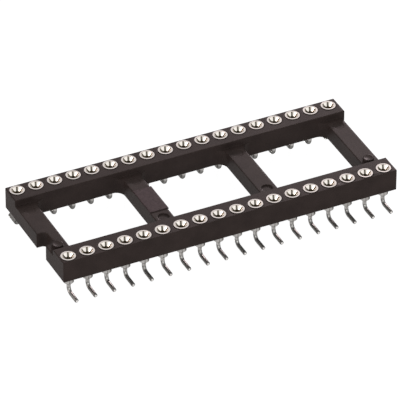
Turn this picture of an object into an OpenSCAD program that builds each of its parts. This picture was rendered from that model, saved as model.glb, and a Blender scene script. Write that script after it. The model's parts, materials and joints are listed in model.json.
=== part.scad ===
// Open-frame dual in-line socket with turned contacts and gull-wing tails.
// Two moulded rails, tied by low bars, each hold a row of turned sleeves.
// A slit spring clip sits in the mouth of every sleeve and grips one lead.
// The board plane is z = 0, and the origin is the centre of the contact pattern.

/* [Contact pattern] */
// Contacts in each row
pins_per_row = 18; // [8:1:19]
// Distance from one contact to the next
pitch = 2.54; // [2.3:0.01:3]
// Distance between the two rows
row_spacing = 15.24; // [12.7:0.01:22.86]

/* [Rails] */
// Height of the rails
rail_h = 2.9; // [2.6:0.05:3.1]
// Rail from the contact centres outwards
rail_out = 1.14; // [1.05:0.01:1.6]
// Rail from the contact centres inwards
rail_in = 1.96; // [1.2:0.01:2.2]
// Rail past the first contact of a row, at the notch
rail_first = 1.14; // [1.05:0.01:1.6]
// Rail past the last contact of a row
rail_last = 1.33; // [1.05:0.01:1.8]
// Rounding of the four upright outer corners
corner_r = 0.1; // [0.05:0.05:0.5]

/* [Bars] */
// Bars between the two end bars
mid_bars = 2; // [1:1:3]
// Width of the bars between the windows
bar_w = 2.4; // [2.2:0.1:3]
// From the end contacts inwards to the nearest window
end_in = 1.45; // [1.3:0.05:1.8]
// Height of every bar
bar_h = 2.08; // [1.6:0.02:2.3]
// Rounding in the corners of the windows
window_r = 1.2; // [0.3:0.1:1.4]
// How far the plain end bar stands back from the rail ends
end_setback = 0.48; // [0.1:0.01:0.6]

/* [Notch and moulding marks] */
// Width of the notch that marks the first contact
notch_w = 2.7; // [1.6:0.1:2.7]
// Depth of the notch into the end bar
notch_depth = 1.22; // [0.8:0.02:1.4]
// Rounding of the two inner corners of the notch
notch_r = 0.65; // [0.2:0.05:0.75]
// Middle of the notch across the bar
notch_y = -2.15; // [-2.15:0.05:2.15]
// Length of the raised panel on the first mid bar
panel_len = 5.1; // [3:0.1:5.2]
// Height of the raised panel
panel_h = 0.1; // [0.05:0.01:0.2]
// How far the panel's edge stands out past its bar
panel_lip = 0.15; // [0.05:0.05:0.4]
// Middle of the panel across the bar
panel_y = -0.25; // [-0.4:0.05:0.4]
// Diameter of the ejector marks
mark_d = 1.4; // [0.8:0.1:1.6]
// Depth of the sunk ejector marks
mark_depth = 0.15; // [0.1:0.05:0.6]
// Height of the raised ejector marks on the end bars
boss_h = 0.4; // [0.1:0.05:0.5]
// From a rail's inner face to the middle of an ejector mark
mark_inset = 1.5; // [1.3:0.05:1.6]

/* [Turned sleeve] */
// Diameter of the flange at the top
flange_d = 1.9; // [1.75:0.01:1.92]
// Height of the flange
flange_h = 0.5; // [0.4:0.02:0.7]
// How far the flange stands above the rails
rim_proud = 0.07; // [0.05:0.01:0.2]
// Chamfer round the flange
rim_chamfer = 0.03; // [0.02:0.01:0.06]
// Diameter of the barrel below the flange
barrel_d = 1.32; // [1.24:0.01:1.4]
// Length from the flange's top to the barrel's foot
barrel_len = 4; // [3.8:0.05:4.6]
// Chamfer round the barrel's foot
barrel_chamfer = 0.16; // [0.05:0.01:0.25]
// Diameter of the band that grips the insulator
band_d = 1.52; // [1.46:0.01:1.6]
// Height of that band
band_h = 0.8; // [0.4:0.1:1]
// Diameter of the mouth that holds the clip
mouth_d = 1.4; // [1.36:0.01:1.5]
// Diameter of the bore below the mouth
bore_d = 0.88; // [0.84:0.01:0.9]
// Depth of the bore from the flange's top
bore_depth = 3; // [2.8:0.1:3.3]

/* [Gull-wing tail] */
// Wire diameter of the tail
tail_d = 0.5; // [0.4:0.01:0.6]
// Height of the barrel's foot above the board
stand_h = 1.53; // [1.4:0.01:2.5]
// Bend radius on the wire's centre line
bend_r = 0.7; // [0.4:0.05:0.9]
// From the contact's axis to the end of its foot
foot_reach = 2.43; // [1.6:0.01:4]
// Chamfer round the cut end of the foot
foot_chamfer = 0.04; // [0.02:0.01:0.08]

/* [Spring clip] */
// Wall of the clip's ring
ring_wall = 0.1; // [0.1:0.01:0.14]
// Height of the ring
ring_h = 0.15; // [0.1:0.01:0.2]
// How deep the ring's top lies below the flange's top
ring_sunk = 0.03; // [0.01:0.01:0.06]
// Sheet thickness of the fingers
sheet = 0.06; // [0.05:0.01:0.07]
// Gap between the fingers at the throat, across the axis
throat_d = 0.68; // [0.56:0.01:0.72]
// Depth of the throat below the ring
throat_depth = 0.34; // [0.3:0.02:0.6]
// Gap between the finger tips, across the axis
tip_d = 0.4; // [0.34:0.01:0.44]
// Depth of the finger tips below the ring
tip_depth = 2; // [1.6:0.1:2.4]
// Width of the slits between the fingers
slit_w = 0.13; // [0.08:0.01:0.16]
// Turn of the slits about the contact's axis
slit_turn = 64; // [0:1:89]

/* [Fits] */
// Gap round the flange in its seat
flange_gap = 0.02; // [0.01:0.01:0.05]
// Gap between the folded fingers and the sleeve's cone
cone_gap = 0.02; // [0.01:0.005:0.025]

/* [Hidden] */
$fn = 64;
cut = 1;

pin_count = 2 * pins_per_row;
half_row = (pins_per_row - 1) * pitch / 2;
first_x = -half_row - rail_first;
last_x = half_row + rail_last;
outer_y = row_spacing / 2 + rail_out;
inner_y = row_spacing / 2 - rail_in;

rim_z = stand_h + barrel_len;
rail_top = rim_z - rim_proud;
rail_bottom = rail_top - rail_h;
bar_top = rail_bottom + bar_h;
flange_z = rim_z - flange_h;

last_bar = mid_bars + 1;
end_bar_x = last_x - end_setback;
span_x = half_row - end_in;
window_len = (2 * span_x - mid_bars * bar_w) / last_bar;
mark_y = inner_y - mark_inset;

flange_r = flange_d / 2;
barrel_r = barrel_d / 2;
band_r = band_d / 2;
mouth_r = mouth_d / 2;
bore_r = bore_d / 2;
tail_r = tail_d / 2;
band_z = rail_bottom + (flange_z - rail_bottom - band_h) / 2;
band_slope = band_r - barrel_r;

ring_r = mouth_r - ring_wall;
ring_top = rim_z - ring_sunk;
ring_bottom = ring_top - ring_h;
throat_r = throat_d / 2;
tip_r = tip_d / 2;
throat_z = ring_bottom - throat_depth;
tip_z = ring_bottom - tip_depth;
finger_run = (ring_r - throat_r) / throat_depth;
fold_r = ring_r + sheet;
cone_r = fold_r + cone_gap;
cone_h = (cone_r - bore_r) / finger_run;

function window_x(i) = i * (window_len + bar_w) - span_x;
function bar_x(i) =
    i == 0 ? (first_x - span_x) / 2
    : i == last_bar ? (end_bar_x + span_x) / 2
    : window_x(i) - bar_w / 2;
function front(k) = k <= pins_per_row;
function place(k) = front(k) ? k - 1 : pin_count - k;
function pin_x(k) = place(k) * pitch - half_row;
function pin_y(k) = (front(k) ? -1 : 1) * row_spacing / 2;
function two_digits(k) = k < 10 ? str("0", k) : str(k);
function sleeve_name(k) = str("sleeve_", two_digits(k));
function clips_name(i) = str("clip_pair_", two_digits(i));

sleeve_names = [for (k = [1:pin_count]) sleeve_name(k)];
clips_names = [for (i = [1:pins_per_row]) clips_name(i)];

// A block from one corner to the opposite corner
module box(from, to) {
    translate(from)
        cube(to - from);
}

// A window between two bars, with rounded corners
module window(i) {
    x0 = window_x(i);
    x1 = x0 + window_len;
    z0 = rail_bottom - cut;
    z1 = rail_top + cut;
    box([x0 + window_r, -inner_y, z0], [x1 - window_r, inner_y, z1]);
    box([x0, -inner_y + window_r, z0], [x1, inner_y - window_r, z1]);
    for (x = [x0 + window_r, x1 - window_r])
        for (y = [-inner_y + window_r, inner_y - window_r])
            translate([x, y, z0])
                cylinder(r = window_r, h = z1 - z0);
}

// The notch in the end bar beside the first contact
module notch() {
    x0 = first_x - cut;
    x1 = first_x + notch_depth;
    y0 = notch_y - notch_w / 2;
    y1 = notch_y + notch_w / 2;
    z0 = rail_bottom - cut;
    z1 = rail_top + cut;
    box([x0, y0, z0], [x1 - notch_r, y1, z1]);
    box([x0, y0 + notch_r, z0], [x1, y1 - notch_r, z1]);
    for (y = [y0 + notch_r, y1 - notch_r])
        translate([x1 - notch_r, y, z0])
            cylinder(r = notch_r, h = z1 - z0);
}

// What is cut away to round one upright outer corner
module corner_cut(side_x, side_y) {
    x = side_x < 0 ? first_x : last_x;
    y = side_y * outer_y;
    translate([x, y, rail_bottom - cut])
        difference() {
            translate([-corner_r, -corner_r, 0])
                cube([2 * corner_r, 2 * corner_r, rail_h + 2 * cut]);
            translate([-side_x * corner_r, -side_y * corner_r, -cut])
                cylinder(r = corner_r, h = rail_h + 4 * cut);
        }
}

// A stepped seat for one sleeve
module sleeve_seat(k) {
    translate([pin_x(k), pin_y(k), 0]) {
        translate([0, 0, flange_z])
            cylinder(r = flange_r + flange_gap, h = flange_h + cut);
        translate([0, 0, rail_bottom - cut])
            cylinder(r = band_r, h = rail_h + cut);
    }
}

// Round ejector mark from one height to another
module mark(x, y, z0, z1) {
    translate([x, y, z0])
        cylinder(d = mark_d, h = z1 - z0);
}

module insulator() {
    panel_x = bar_x(1);
    color("#3b3334")
        difference() {
            union() {
                difference() {
                    box([first_x, -outer_y, rail_bottom], [last_x, outer_y, rail_top]);
                    box([first_x - cut, -inner_y, bar_top], [last_x + cut, inner_y, rail_top + cut]);
                    for (i = [0:mid_bars])
                        window(i);
                }
                box([panel_x - bar_w / 2, panel_y - panel_len / 2, bar_top - panel_h],
                    [panel_x + bar_w / 2 + panel_lip, panel_y + panel_len / 2, bar_top + panel_h]);
                for (i = [0, last_bar])
                    mark(bar_x(i), -mark_y, bar_top - boss_h, bar_top + boss_h);
            }
            notch();
            box([end_bar_x, -inner_y, rail_bottom - cut],
                [last_x + cut, inner_y, rail_top + cut]);
            for (i = [1:mid_bars])
                mark(bar_x(i), -mark_y, bar_top - mark_depth, bar_top + cut);
            for (i = [0:last_bar])
                mark(bar_x(i), mark_y, bar_top - mark_depth, bar_top + cut);
            for (k = [1:pin_count])
                sleeve_seat(k);
            for (sx = [-1, 1])
                for (sy = [-1, 1])
                    corner_cut(sx, sy);
        }
}

// Turned flange and barrel with a blind bore, on the z axis
module turned_barrel() {
    bore_z = rim_z - bore_depth;
    rotate_extrude()
        polygon([
            [0, stand_h],
            [barrel_r - barrel_chamfer, stand_h],
            [barrel_r, stand_h + barrel_chamfer],
            [barrel_r, band_z],
            [band_r, band_z + band_slope],
            [band_r, band_z + band_h - band_slope],
            [barrel_r, band_z + band_h],
            [barrel_r, flange_z],
            [flange_r, flange_z],
            [flange_r, rim_z - rim_chamfer],
            [flange_r - rim_chamfer, rim_z],
            [mouth_r, rim_z],
            [mouth_r, ring_bottom],
            [cone_r, ring_bottom],
            [bore_r, ring_bottom - cone_h],
            [bore_r, bore_z],
            [0, bore_z]
        ]);
}

// Round tail wire that bends outwards, towards -Y, and lies on the board
module gull_wing() {
    foot_len = foot_reach - bend_r;
    translate([0, 0, bend_r + tail_r])
        cylinder(r = tail_r, h = stand_h + barrel_chamfer - bend_r - tail_r);
    translate([0, -bend_r, bend_r + tail_r])
        rotate([-90, 0, 90])
            rotate_extrude(angle = 90)
                translate([bend_r, 0])
                    circle(r = tail_r);
    translate([0, -bend_r, tail_r])
        rotate([90, 0, 0]) {
            cylinder(r = tail_r, h = foot_len - foot_chamfer);
            translate([0, 0, foot_len - foot_chamfer])
                cylinder(r1 = tail_r, r2 = tail_r - foot_chamfer, h = foot_chamfer);
        }
}

module sleeve(k) {
    color("#c9c3b4")
        translate([pin_x(k), pin_y(k), 0])
            rotate([0, 0, front(k) ? 0 : 180]) {
                turned_barrel();
                gull_wing();
            }
}

// Ring with four fingers that fold inwards and run down to the tips
module clip(k) {
    slit_len = 2 * cone_r;
    translate([pin_x(k), pin_y(k), 0])
        difference() {
            rotate_extrude()
                polygon([
                    [ring_r, ring_top],
                    [mouth_r, ring_top],
                    [mouth_r, ring_bottom],
                    [fold_r, ring_bottom],
                    [throat_r + sheet, throat_z],
                    [tip_r + sheet, tip_z],
                    [tip_r, tip_z],
                    [throat_r, throat_z],
                    [ring_r, ring_bottom]
                ]);
            for (turn = [0, 90])
                rotate([0, 0, slit_turn + turn])
                    translate([-slit_len / 2, -slit_w / 2, tip_z - cut])
                        cube([slit_len, slit_w, ring_bottom - tip_z + cut]);
        }
}

// The two clips that face each other across the socket
module clip_pair(i) {
    color("#d9b45a") {
        clip(i);
        clip(pin_count + 1 - i);
    }
}

insulator();
for (k = [1:pin_count])
    sleeve(k);
for (i = [1:pins_per_row])
    clip_pair(i);
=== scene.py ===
import json
import math

import bmesh
import bpy
from mathutils import Matrix, Vector


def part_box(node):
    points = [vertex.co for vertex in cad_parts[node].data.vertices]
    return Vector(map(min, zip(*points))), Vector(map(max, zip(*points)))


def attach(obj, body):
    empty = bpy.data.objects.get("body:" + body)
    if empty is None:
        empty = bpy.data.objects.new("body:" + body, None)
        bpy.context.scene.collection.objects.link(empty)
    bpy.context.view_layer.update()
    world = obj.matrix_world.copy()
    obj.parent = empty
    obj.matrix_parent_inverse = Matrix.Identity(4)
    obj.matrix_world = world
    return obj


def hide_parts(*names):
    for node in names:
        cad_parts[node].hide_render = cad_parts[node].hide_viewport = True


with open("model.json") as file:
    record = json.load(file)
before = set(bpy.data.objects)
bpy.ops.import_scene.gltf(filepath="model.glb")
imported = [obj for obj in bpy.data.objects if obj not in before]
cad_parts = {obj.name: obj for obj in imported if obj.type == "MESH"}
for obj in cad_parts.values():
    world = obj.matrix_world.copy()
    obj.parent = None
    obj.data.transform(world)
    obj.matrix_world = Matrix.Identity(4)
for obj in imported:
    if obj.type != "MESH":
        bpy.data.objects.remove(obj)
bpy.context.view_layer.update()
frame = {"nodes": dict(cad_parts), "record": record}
mm = 0.001
weldGap = 1e-7  # metres, points nearer than this become one
flatShare = 0.99  # least share of its normal that a flat face has along its axis
noiseRange = (0.3, 0.7)  # where most of a noise texture's values lie

leads = [m for m in frame["record"]["mounts"] if m["name"].startswith("lead_")]
pinPlaces = [Vector((m["pos_m"][0], m["pos_m"][1], 0)) for m in leads]  # contacts 1 to 36
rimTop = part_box("sleeve_01")[1].z / mm  # heights are in mm above the board
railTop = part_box("insulator")[1].z / mm
print("frame loaded:", len(frame["nodes"]), "nodes,", len(leads), "contacts")


# Mesh helpers
def addPiece(name, mesh, nodes):
    piece = bpy.data.objects.new(name, mesh)
    bpy.context.scene.collection.objects.link(piece)
    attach(piece, "root")
    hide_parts(*nodes)
    return piece


def meshFrom(bm, name):
    mesh = bpy.data.meshes.new(name)
    bm.to_mesh(mesh)
    bm.free()
    mesh.shade_smooth()
    return mesh


def joinMesh(bm, mesh):
    bm.from_mesh(mesh)
    bpy.data.meshes.remove(mesh)


def dressMesh(mesh, materials, zoneOf):  # zoneOf names the material of a face
    order = list(materials)
    for material in materials.values():
        mesh.materials.append(material)
    for face in mesh.polygons:
        face.material_index = order.index(zoneOf(face))


def weightNormals(piece):
    weigh = piece.modifiers.new("flat faces stay flat", "WEIGHTED_NORMAL")
    weigh.weight = 100
    weigh.keep_sharp = True


def softenEdges(bm, edges, radius, segments):
    bmesh.ops.bevel(bm, geom=edges, offset=radius, offset_type="OFFSET", affect="EDGES",
                    segments=segments, profile=0.5, material=-1, clamp_overlap=True)


def sharpEdges(bm, angle):
    return [e for e in bm.edges if len(e.link_faces) == 2 and e.calc_face_angle() > math.radians(angle)]


def drawProfile(bm, points, closed=False):  # points are radius and height in mm
    verts = [bm.verts.new((r * mm, 0, z * mm)) for r, z in points]
    following = verts[1:] + verts[:1] if closed else verts[1:]
    return verts + [bm.edges.new(pair) for pair in zip(verts, following)]


def latheProfile(bm, points, steps, closed=False):
    bmesh.ops.spin(bm, geom=drawProfile(bm, points, closed), cent=(0, 0, 0), axis=(0, 0, 1),
                   angle=2 * math.pi, steps=steps, use_merge=True)
    bmesh.ops.remove_doubles(bm, verts=bm.verts, dist=weldGap)


def extrudeLoop(bm, edges, move, scale=1.0):
    made = bmesh.ops.extrude_edge_only(bm, edges=edges)["geom"]
    verts = [g for g in made if isinstance(g, bmesh.types.BMVert)]
    bmesh.ops.translate(bm, verts=verts, vec=move)
    middle = sum((v.co for v in verts), Vector()) / len(verts)
    bmesh.ops.scale(bm, verts=verts, vec=(scale, scale, scale), space=Matrix.Translation(-middle))
    return [g for g in made if isinstance(g, bmesh.types.BMEdge)
            and all(v in verts for v in g.verts)]


def markTurning(mesh):  # radius and height of each point, for the tool marks
    place = mesh.attributes.new("turnedPlace", "FLOAT_VECTOR", "POINT")
    for v, item in zip(mesh.vertices, place.data):
        item.vector = (math.hypot(v.co.x, v.co.y), 0, v.co.z)


# Material helpers
def newMaterial(name):
    material = bpy.data.materials.new(name)
    material.use_nodes = True
    tree = material.node_tree
    shader = next(n for n in tree.nodes if n.type == "BSDF_PRINCIPLED")
    return material, tree, shader


def addNode(tree, kind, **values):
    node = tree.nodes.new(kind)
    for key, value in values.items():
        setattr(node, key, value)
    return node


def addNoise(tree, vector, scale, detail, roughness):
    noise = addNode(tree, "ShaderNodeTexNoise")
    noise.inputs["Scale"].default_value = scale
    noise.inputs["Detail"].default_value = detail
    noise.inputs["Roughness"].default_value = roughness
    tree.links.new(vector, noise.inputs["Vector"])
    return noise.outputs["Fac"]


def addRamp(tree, value, places, colors):
    ramp = addNode(tree, "ShaderNodeValToRGB")
    for element, place, color in zip(ramp.color_ramp.elements, places, colors):
        element.position = place
        element.color = (*color, 1)
    tree.links.new(value, ramp.inputs["Fac"])
    return ramp.outputs["Color"]


def addRange(tree, value, low, high, toLow, toHigh):
    span = addNode(tree, "ShaderNodeMapRange")
    for key, number in zip(("From Min", "From Max", "To Min", "To Max"), (low, high, toLow, toHigh)):
        span.inputs[key].default_value = number
    tree.links.new(value, span.inputs["Value"])
    return span.outputs["Result"]


def addBump(tree, height, strength, distance):
    bump = addNode(tree, "ShaderNodeBump")
    bump.inputs["Strength"].default_value = strength
    bump.inputs["Distance"].default_value = distance
    tree.links.new(height, bump.inputs["Height"])
    return bump


# Insulator: dark moulded plastic, sizes in mm
insulator = {
    "bossTop": 5.04, "panelTop": 4.74, "barTop": 4.64,
    "barMiddles": (-21.435, -7.11, 7.11, 21.29),
    "panelBar": 1, "panelReach": 1.5,  # the bar with the panel, and a little more than half its width
    "markReach": 0.75, "markDepth": 0.15, "backMarkLift": 0.10,
    "dishRim": 0.26, "dishDepth": 0.09,
    "railEdge": 0.04, "bossEdge": 0.06, "panelEdge": 0.04, "markEdge": 0.08, "edgeSteps": 3,
    "seatR": 0.99, "sharpAngle": 35,  # edges of the sleeves' seats stay as they are
    "heightGap": 0.01, "levelGap": 0.002,  # how far a face or an edge may lie off its height
    "cadGap": 1e-6, "cadAngle": 0.5,  # metres and degrees, for joining the CAD triangles
    "looks": {
        "moulded": {"dark": (0.0155, 0.0112, 0.0102), "light": (0.0199, 0.0144, 0.0131),
                    "cloudScale": 420, "rough": (0.34, 0.46)},
        "panel": {"dark": (0.0215, 0.0144, 0.0150), "light": (0.0330, 0.0225, 0.0240),
                  "cloudScale": 2600, "rough": (0.38, 0.55)},
    },
    "cloudStops": (0.35, 0.65),
    "grainScale": 9000, "grainStrength": 0.6, "grainDepth": 0.000012,  # per metre, share, metres
    "gloss": 0.0275,
    "edgeShade": 0.24, "edgeSamples": 6,  # rounding seen on every edge
}


def makePlastic(name, look):
    material, tree, shader = newMaterial(name)
    place = addNode(tree, "ShaderNodeTexCoord").outputs["Object"]
    cloud = addNoise(tree, place, look["cloudScale"], detail=4, roughness=0.6)
    grain = addNoise(tree, place, insulator["grainScale"], detail=3, roughness=0.55)
    color = addRamp(tree, cloud, insulator["cloudStops"], (look["dark"], look["light"]))
    tree.links.new(color, shader.inputs["Base Color"])
    rough = addRange(tree, grain, *noiseRange, *look["rough"])
    tree.links.new(rough, shader.inputs["Roughness"])
    edge = addNode(tree, "ShaderNodeBevel", samples=insulator["edgeSamples"])
    edge.inputs["Radius"].default_value = insulator["edgeShade"] * mm
    bump = addBump(tree, grain, insulator["grainStrength"], insulator["grainDepth"])
    tree.links.new(edge.outputs["Normal"], bump.inputs["Normal"])
    tree.links.new(bump.outputs["Normal"], shader.inputs["Normal"])
    shader.inputs["Specular IOR Level"].default_value = insulator["gloss"]
    return material


def nearBar(place):
    return min(abs(place.x / mm - x) for x in insulator["barMiddles"]) < insulator["markReach"]


def softenEdgesAt(bm, height, radius, onlyMarks=False):  # onlyMarks keeps to the middles of the bars
    found = []
    for edge in sharpEdges(bm, insulator["sharpAngle"]):
        middle = (edge.verts[0].co + edge.verts[1].co) / 2
        flat = Vector((middle.x, middle.y, 0))
        level = all(abs(v.co.z / mm - height) < insulator["levelGap"] for v in edge.verts)
        inSeat = min((flat - p).length for p in pinPlaces) < insulator["seatR"] * mm
        wanted = nearBar(flat) or not onlyMarks
        if level and edge.is_convex and not inSeat and wanted:
            found.append(edge)
    softenEdges(bm, found, radius * mm, insulator["edgeSteps"])


def shapeMarks(bm):  # back marks made shallower, bosses dished
    gap = insulator["heightGap"]
    markFloor = insulator["barTop"] - insulator["markDepth"]
    backMarks = [v for v in bm.verts if v.co.y > 0 and abs(v.co.z / mm - markFloor) < gap]
    bmesh.ops.translate(bm, verts=backMarks, vec=(0, 0, insulator["backMarkLift"] * mm))
    bm.normal_update()
    bosses = [f for f in bm.faces if f.normal.z > flatShare
              and abs(f.calc_center_median().z / mm - insulator["bossTop"]) < gap]
    bmesh.ops.inset_individual(bm, faces=bosses, thickness=insulator["dishRim"] * mm,
                               depth=-insulator["dishDepth"] * mm)


def makeInsulator(materials):
    bm = bmesh.new()
    bm.from_mesh(frame["nodes"]["insulator"].data)
    bmesh.ops.remove_doubles(bm, verts=bm.verts, dist=insulator["cadGap"])
    bmesh.ops.dissolve_limit(bm, angle_limit=math.radians(insulator["cadAngle"]),
                             verts=bm.verts, edges=bm.edges)
    shapeMarks(bm)
    softenEdgesAt(bm, railTop, insulator["railEdge"])
    softenEdgesAt(bm, insulator["bossTop"], insulator["bossEdge"], onlyMarks=True)
    softenEdgesAt(bm, insulator["panelTop"], insulator["panelEdge"])
    softenEdgesAt(bm, insulator["barTop"], insulator["markEdge"], onlyMarks=True)
    mesh = meshFrom(bm, "mouldedBody")
    mesh.set_sharp_from_angle(angle=math.radians(insulator["sharpAngle"]))
    panelX = insulator["barMiddles"][insulator["panelBar"]]
    above = insulator["barTop"] + insulator["heightGap"]
    below = insulator["panelTop"] + insulator["heightGap"]

    def zoneOf(face):  # the panel's top and its soft edge
        low = min(mesh.vertices[i].co.z for i in face.vertices) / mm
        onPanel = abs(face.center.x / mm - panelX) < insulator["panelReach"]
        return "panel" if onPanel and low > above and face.center.z / mm < below else "moulded"

    dressMesh(mesh, materials, zoneOf)
    weightNormals(addPiece("mouldedBody", mesh, ["insulator"]))


# Sleeves: turned and tin plated, sizes in mm
sleeve = {
    "flangeR": 0.95, "flangeH": 0.5,
    "barrelR": 0.66, "barrelLen": 4.0, "barrelChamfer": 0.16,
    "bandR": 0.76, "bandH": 0.8, "bandMiddle": 3.795,  # bandMiddle is a height
    "mouthR": 0.74, "mouthDepth": 0.10, "coneR": 0.735, "coneH": 0.40,
    "boreR": 0.48, "boreDepth": 3.0,
    "tailR": 0.25, "bendR": 0.7, "footReach": 2.43, "footRound": 0.11,
    "steps": 48, "bendSteps": 12, "footSteps": 3,
    "edgeRadius": 0.025, "edgeSteps": 2, "edgeAngle": 32, "sharpAngle": 40,
    "needle": 2e-7,  # metres, shorter edges are dropped
    "wallGap": 0.004, "inwardShare": 0.2, "rimReach": 0.1,  # where the painted shade inside and the rim end
    "looks": {
        # painted shade: barrel and wire are darker than the rim's tin, the wire most, standing in for the
        # shadowed floor they reflect
        "barrel": {"color": (0.41, 0.395, 0.38), "stain": (0.34, 0.325, 0.31), "rough": (0.16, 0.28),
                   "metallic": 1.0, "edgeTint": (0.06, 0.06, 0.06), "ringDepth": 0.0000015},
        "wire": {"color": (0.222, 0.217, 0.208), "stain": (0.185, 0.18, 0.173), "rough": (0.35, 0.41),
                 "metallic": 1.0, "edgeTint": (0.06, 0.06, 0.06), "ringDepth": 0.0000002},
        "rim": {"color": (0.49, 0.452, 0.428), "stain": (0.43, 0.396, 0.373), "rough": (0.13, 0.26),
                "metallic": 1.0, "edgeTint": (0.4, 0.4, 0.4), "ringDepth": 0.0000015},
        # painted shade: the mouth and bore inside are dark matt brown, not metal, standing in for the shade
        # deep in the hole
        "paintedShadeInside": {"color": (0.070, 0.057, 0.033), "stain": (0.050, 0.041, 0.024), "rough": (0.40, 0.60),
                   "metallic": 0.0, "edgeTint": (1.0, 1.0, 1.0), "ringDepth": 0.0000015},
        # painted highlight: the foot's flat end face is pale tin, a bright disc
        "paintedHighlightEnd": {"color": (0.75, 0.72, 0.69), "stain": (0.60, 0.57, 0.55), "rough": (0.20, 0.30),
                   "metallic": 1.0, "edgeTint": (0.4, 0.4, 0.4), "ringDepth": 0.0000002},
        # painted shade: the rounded edge round that end face is nearly black, a dark outline
        "paintedShadeEndEdge": {"color": (0.085, 0.083, 0.08), "stain": (0.07, 0.068, 0.066), "rough": (0.30, 0.40),
                    "metallic": 1.0, "edgeTint": (0.06, 0.06, 0.06), "ringDepth": 0.0000002},
    },
    "cloudScale": 900, "cloudStops": (0.30, 0.55),
    "ringScale": 26000, "ringStrength": 0.5,  # marks of the turning tool
}
bendZ = sleeve["bendR"] + sleeve["tailR"]  # where the tail begins to bend


def makeTin(name, look):
    material, tree, shader = newMaterial(name)
    place = addNode(tree, "ShaderNodeTexCoord").outputs["Object"]
    turned = addNode(tree, "ShaderNodeAttribute", attribute_name="turnedPlace").outputs["Vector"]
    cloud = addNoise(tree, place, sleeve["cloudScale"], detail=3, roughness=0.6)
    rings = addNoise(tree, turned, sleeve["ringScale"], detail=2, roughness=0.6)
    color = addRamp(tree, cloud, sleeve["cloudStops"], (look["stain"], look["color"]))
    tree.links.new(color, shader.inputs["Base Color"])
    smooth, dull = look["rough"]
    rough = addRange(tree, cloud, *noiseRange, dull, smooth)  # stains are dull
    tree.links.new(rough, shader.inputs["Roughness"])
    bump = addBump(tree, rings, sleeve["ringStrength"], look["ringDepth"])
    tree.links.new(bump.outputs["Normal"], shader.inputs["Normal"])
    shader.inputs["Metallic"].default_value = look["metallic"]
    shader.inputs["Specular Tint"].default_value = (*look["edgeTint"], 1)
    return material


def turnSleeve(bm):
    size = sleeve
    foot = rimTop - size["barrelLen"]
    flangeZ = rimTop - size["flangeH"]
    mouthZ = rimTop - size["mouthDepth"]
    boreZ = rimTop - size["boreDepth"]
    step = size["bandR"] - size["barrelR"]
    bandLow = size["bandMiddle"] - size["bandH"] / 2
    bandHigh = size["bandMiddle"] + size["bandH"] / 2
    latheProfile(bm, [
        (0, boreZ), (size["boreR"], boreZ),
        (size["boreR"], mouthZ - size["coneH"]), (size["coneR"], mouthZ),
        (size["mouthR"], mouthZ), (size["mouthR"], rimTop),
        (size["flangeR"], rimTop), (size["flangeR"], flangeZ),
        (size["barrelR"], flangeZ), (size["barrelR"], bandHigh),
        (size["bandR"], bandHigh - step), (size["bandR"], bandLow + step),
        (size["barrelR"], bandLow), (size["barrelR"], foot + size["barrelChamfer"]),
        (size["barrelR"] - size["barrelChamfer"], foot),
        (size["tailR"], foot), (size["tailR"], bendZ)], size["steps"])


def bendTail(bm):  # from the open end of the wire to the rounded end of the foot
    size = sleeve
    end = [e for e in bm.edges if e.is_boundary]
    bent = bmesh.ops.spin(bm, geom=end + list({v for e in end for v in e.verts}),
                          cent=(0, -size["bendR"] * mm, bendZ * mm), axis=(1, 0, 0),
                          angle=-math.pi / 2, steps=size["bendSteps"])
    end = [g for g in bent["geom_last"] if isinstance(g, bmesh.types.BMEdge)]
    footLen = size["footReach"] - size["bendR"] - size["footRound"]
    end = extrudeLoop(bm, end, Vector((0, -footLen * mm, 0)))
    out = 0
    radius = size["tailR"]
    for part in range(1, size["footSteps"] + 1):
        angle = part / size["footSteps"] * math.pi / 2
        nextOut = size["footRound"] * math.sin(angle)
        nextRadius = size["tailR"] - size["footRound"] * (1 - math.cos(angle))
        end = extrudeLoop(bm, end, Vector((0, (out - nextOut) * mm, 0)), nextRadius / radius)
        out = nextOut
        radius = nextRadius
    bmesh.ops.edgeloop_fill(bm, edges=end)


def sleeveZone(face):
    height = face.center.z / mm
    outward = Vector((face.center.x, face.center.y, 0))
    inMouth = outward.length / mm < sleeve["mouthR"] - sleeve["wallGap"]
    inBore = height > rimTop - sleeve["boreDepth"] - sleeve["wallGap"]
    facesIn = face.normal.dot(outward.normalized()) < sleeve["inwardShare"]
    # faces inside the mouth and bore get painted shade, a dark matt brown
    if inMouth and inBore and facesIn:
        return "paintedShadeInside"
    if height > railTop - sleeve["rimReach"]:
        return "rim"
    # below the rim the barrel and the wire get darker tin than the rim, painted shade
    if height > bendZ:
        return "barrel"
    # the foot's flat end gets a painted highlight, its rounded edge painted shade
    if face.normal.y < -flatShare:
        return "paintedHighlightEnd"
    onEdge = face.center.y / mm < sleeve["footRound"] - sleeve["footReach"]
    return "paintedShadeEndEdge" if onEdge else "wire"


def makeSleeveMesh(materials):
    bm = bmesh.new()
    turnSleeve(bm)
    bendTail(bm)
    bmesh.ops.recalc_face_normals(bm, faces=bm.faces)
    lower = [e for e in sharpEdges(bm, sleeve["edgeAngle"]) if all(v.co.z / mm < railTop for v in e.verts)]
    softenEdges(bm, lower, sleeve["edgeRadius"] * mm, sleeve["edgeSteps"])
    bmesh.ops.dissolve_degenerate(bm, dist=sleeve["needle"], edges=bm.edges)
    mesh = meshFrom(bm, "turnedSleeve")
    mesh.set_sharp_from_angle(angle=math.radians(sleeve["sharpAngle"]))
    markTurning(mesh)
    dressMesh(mesh, materials, sleeveZone)
    return mesh


def makeSleeves(materials):
    base = makeSleeveMesh(materials)
    for k, place in enumerate(pinPlaces, 1):
        mesh = base.copy()
        turn = math.pi if place.y > 0 else 0  # tails of the back row point back
        mesh.transform(Matrix.Translation(place) @ Matrix.Rotation(turn, 4, "Z"))
        weightNormals(addPiece(f"turnedSleeve{k:02d}", mesh, [f"sleeve_{k:02d}"]))
    bpy.data.meshes.remove(base)


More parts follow.
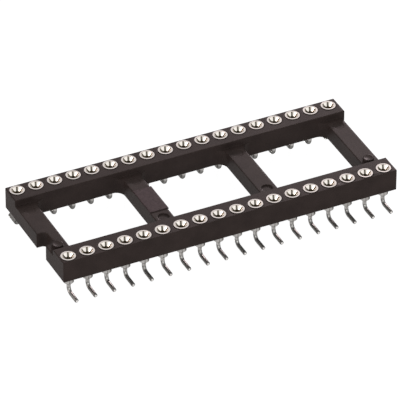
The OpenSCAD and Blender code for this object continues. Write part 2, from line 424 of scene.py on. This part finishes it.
# Clips: gold spring rings with four folded fingers, sizes in mm
clip = {
    "ringR": 0.72, "ringOut": 0.735, "ringSunk": 0.02, "ringH": 0.06,
    "sheet": 0.04, "throatR": 0.415, "fold": 0.015, "tipR": 0.20,
    "throatDepth": 0.45, "tipDepth": 2.2,  # below the rim
    "slit": 0.24, "slits": (2, 69, 134, 249),  # width, and places in degrees
    "steps": 48, "sharpAngle": 35,
    "uprightShare": 0.05, "outwardShare": 0.4,  # most of a dark wall's normal that points up or outwards
    "looks": {
        "gold": {"color": (0.64, 0.60, 0.55), "pale": (0.70, 0.665, 0.615), "rough": (0.06, 0.11),
                 "metallic": 1.0},
        # painted shade: below the throat, on the cut flanks and on the ring's inner wall the clip is dark
        # matt brown, not gold
        "paintedShadeInside": {"color": (0.060, 0.040, 0.016), "pale": (0.076, 0.051, 0.022), "rough": (0.40, 0.60),
                   "metallic": 0.0},
    },
    "cloudScale": 1500, "cloudStops": (0.35, 0.65),
    "drawScale": 18000, "drawStrength": 0.5, "drawDepth": 0.000001,  # marks of the stamping
}


def makeGold(name, look):
    material, tree, shader = newMaterial(name)
    place = addNode(tree, "ShaderNodeTexCoord").outputs["Object"]
    turned = addNode(tree, "ShaderNodeAttribute", attribute_name="turnedPlace").outputs["Vector"]
    cloud = addNoise(tree, place, clip["cloudScale"], detail=3, roughness=0.6)
    draw = addNoise(tree, turned, clip["drawScale"], detail=2, roughness=0.5)
    color = addRamp(tree, cloud, clip["cloudStops"], (look["color"], look["pale"]))
    tree.links.new(color, shader.inputs["Base Color"])
    rough = addRange(tree, cloud, *noiseRange, *look["rough"])
    tree.links.new(rough, shader.inputs["Roughness"])
    bump = addBump(tree, draw, clip["drawStrength"], clip["drawDepth"])
    tree.links.new(bump.outputs["Normal"], shader.inputs["Normal"])
    shader.inputs["Metallic"].default_value = look["metallic"]
    return material


def makeFinger(profile, start, stop):  # between the middles of two slits
    span = math.radians(stop - start)
    bm = bmesh.new()
    bmesh.ops.spin(bm, geom=drawProfile(bm, profile, closed=True), cent=(0, 0, 0), axis=(0, 0, 1),
                   angle=span, steps=round(clip["steps"] * span / (2 * math.pi)))
    for outward in (Vector((0, -1, 0)), Vector((-math.sin(span), math.cos(span), 0))):
        cut = bmesh.ops.bisect_plane(bm, geom=bm.verts[:] + bm.edges[:] + bm.faces[:],
                                     plane_co=-outward * clip["slit"] / 2 * mm,  # half a slit off each flank
                                     plane_no=outward, clear_outer=True)
        flank = [g for g in cut["geom_cut"] if isinstance(g, bmesh.types.BMEdge)]
        bmesh.ops.edgeloop_fill(bm, edges=flank)
    bmesh.ops.recalc_face_normals(bm, faces=bm.faces)
    bmesh.ops.rotate(bm, verts=bm.verts, cent=(0, 0, 0),
                     matrix=Matrix.Rotation(math.radians(start), 3, "Z"))
    return meshFrom(bm, "finger")


def makeRing(top, bottom):
    bm = bmesh.new()
    inner = clip["ringR"]
    outer = clip["ringOut"]
    latheProfile(bm, [(inner, bottom), (inner, top), (outer, top), (outer, bottom)], clip["steps"],
                 closed=True)
    bmesh.ops.recalc_face_normals(bm, faces=bm.faces)
    return meshFrom(bm, "ring")


def makeClipMesh(materials):
    ringTop = rimTop - clip["ringSunk"]
    ringBottom = ringTop - clip["ringH"]
    throatZ = rimTop - clip["throatDepth"]
    foldZ = throatZ - clip["fold"]
    tipZ = rimTop - clip["tipDepth"]
    throatOut = clip["throatR"] + clip["sheet"]
    profile = [(clip["ringR"], ringTop), (clip["throatR"], throatZ), (clip["throatR"], foldZ),
               (clip["tipR"], tipZ), (clip["tipR"] + clip["sheet"], tipZ),
               (throatOut, foldZ), (throatOut, throatZ), (clip["ringR"], ringBottom)]
    slits = clip["slits"]
    bm = bmesh.new()
    for start, stop in zip(slits, (*slits[1:], slits[0] + 360)):
        joinMesh(bm, makeFinger(profile, start, stop))
    joinMesh(bm, makeRing(ringTop, ringBottom))
    mesh = meshFrom(bm, "springClip")
    mesh.set_sharp_from_angle(angle=math.radians(clip["sharpAngle"]))
    markTurning(mesh)

    def zoneOf(face):  # painted shade below the throat, on the cut flanks and on the ring's inner wall
        outward = Vector((face.center.x, face.center.y, 0)).normalized()
        upright = abs(face.normal.z) < clip["uprightShare"]
        facesIn = face.normal.dot(outward) < clip["outwardShare"]
        belowThroat = face.center.z / mm < (throatZ + foldZ) / 2
        return "paintedShadeInside" if belowThroat or (upright and facesIn) else "gold"

    dressMesh(mesh, materials, zoneOf)
    return mesh


def makeClips(materials):
    base = makeClipMesh(materials)
    count = len(pinPlaces)
    for i in range(1, count // 2 + 1):
        bm = bmesh.new()
        for k in (i, count + 1 - i):  # the two clips that face each other
            copy = base.copy()
            copy.transform(Matrix.Translation(pinPlaces[k - 1]))
            joinMesh(bm, copy)
        mesh = meshFrom(bm, f"springClips{i:02d}")
        for material in materials.values():  # the faces keep their numbers
            mesh.materials.append(material)
        addPiece(f"springClips{i:02d}", mesh, [f"clip_pair_{i:02d}"])
    bpy.data.meshes.remove(base)


# Stage: floor and world, sizes in metres
stage = {
    "floorSize": 1.5, "floorColor": (0.03, 0.03, 0.03), "floorRough": 0.9, "floorGlow": 0.97,
    "worldColor": (1.0, 1.0, 1.0), "worldDark": (0.45, 0.45, 0.45), "worldStrength": 1.38,
    "darkSide": (-0.58, 0.73, 0.35), "darkStops": (0.70, 0.95),  # cosines off the dark side
}


def makeFloor():
    bm = bmesh.new()
    bmesh.ops.create_grid(bm, x_segments=2, y_segments=2, size=stage["floorSize"])
    mesh = meshFrom(bm, "floor")
    material, tree, shader = newMaterial("paleFloor")
    shader.inputs["Base Color"].default_value = (*stage["floorColor"], 1)
    shader.inputs["Roughness"].default_value = stage["floorRough"]
    shader.inputs["Emission Color"].default_value = (1, 1, 1, 1)
    shader.inputs["Emission Strength"].default_value = stage["floorGlow"]
    mesh.materials.append(material)
    floor = bpy.data.objects.new("floor", mesh)
    bpy.context.scene.collection.objects.link(floor)


def makeWorld():
    world = bpy.data.worlds.new("studio")
    world.use_nodes = True
    tree = world.node_tree
    sky = next(n for n in tree.nodes if n.type == "BACKGROUND")
    toward = addNode(tree, "ShaderNodeVectorMath", operation="DOT_PRODUCT")
    toward.inputs[1].default_value = Vector(stage["darkSide"]).normalized()
    tree.links.new(addNode(tree, "ShaderNodeTexCoord").outputs["Generated"], toward.inputs[0])
    color = addRamp(tree, toward.outputs["Value"], stage["darkStops"],
                    (stage["worldColor"], stage["worldDark"]))
    tree.links.new(color, sky.inputs["Color"])
    sky.inputs["Strength"].default_value = stage["worldStrength"]
    bpy.context.scene.world = world


# Lights: places and sizes in metres, each aimed at the socket
lights = {
    "key": {"place": (0.902, 1.196, 0.560), "size": 0.2, "power": 18.6, "color": (1.0, 0.83, 0.86)},
    "front": {"place": (-0.15, -0.78, 0.26), "size": 0.3, "power": 2.92, "color": (1.0, 1.0, 1.0)},
    "left": {"place": (-0.75, 0.12, 0.27), "size": 0.5, "power": 2.8, "color": (0.90, 0.76, 0.70)},
}


def makeLights():
    for name, values in lights.items():
        data = bpy.data.lights.new(name, "AREA")
        data.shape = "SQUARE"
        data.size = values["size"]
        data.energy = values["power"]
        data.color = values["color"]
        lamp = bpy.data.objects.new(name, data)
        lamp.location = values["place"]
        lamp.rotation_mode = "QUATERNION"
        lamp.rotation_quaternion = (-Vector(values["place"])).to_track_quat("-Z", "Y")
        bpy.context.scene.collection.objects.link(lamp)


# Camera: fitted to the rims
camera = {
    "azimuth": -25.854, "elevation": 35.594, "roll": 0.2408,  # degrees
    "distance": 630.09, "right": -0.108, "up": -2.631,  # mm from the middle of the rims
    "focalPixels": 5070.84, "framePixels": 400, "sensor": 36,
    "nearest": 0.01,  # metres
}


def makeCamera():
    azimuth, elevation, roll = (math.radians(camera[k]) for k in ("azimuth", "elevation", "roll"))
    back = Vector((math.sin(azimuth) * math.cos(elevation), -math.cos(azimuth) * math.cos(elevation),
                   math.sin(elevation)))
    right = Vector((math.cos(azimuth), math.sin(azimuth), 0))
    up = back.cross(right)
    turnedRight = math.cos(roll) * right + math.sin(roll) * up
    turnedUp = math.cos(roll) * up - math.sin(roll) * right
    data = bpy.data.cameras.new("camera")
    data.sensor_width = camera["sensor"]
    data.lens = camera["focalPixels"] / camera["framePixels"] * camera["sensor"]
    data.clip_start = camera["nearest"]
    eye = bpy.data.objects.new("camera", data)
    eye.rotation_mode = "QUATERNION"
    eye.rotation_quaternion = Matrix((turnedRight, turnedUp, back)).transposed().to_quaternion()
    place = back * camera["distance"] + turnedRight * camera["right"] + turnedUp * camera["up"]
    eye.location = (Vector((0, 0, rimTop)) + place) * mm
    bpy.context.scene.collection.objects.link(eye)
    bpy.context.scene.camera = eye


makeCamera()
makeInsulator({name: makePlastic(f"{name}Plastic", look) for name, look in insulator["looks"].items()})
print("insulator made")
makeSleeves({name: makeTin(f"{name}Tin", look) for name, look in sleeve["looks"].items()})
print("sleeves made:", len(pinPlaces))
makeClips({name: makeGold(f"{name}Clip", look) for name, look in clip["looks"].items()})
print("clips made:", len(pinPlaces))
makeFloor()
makeWorld()
makeLights()
bpy.context.scene.view_settings.view_transform = "Standard"
print("stage made")
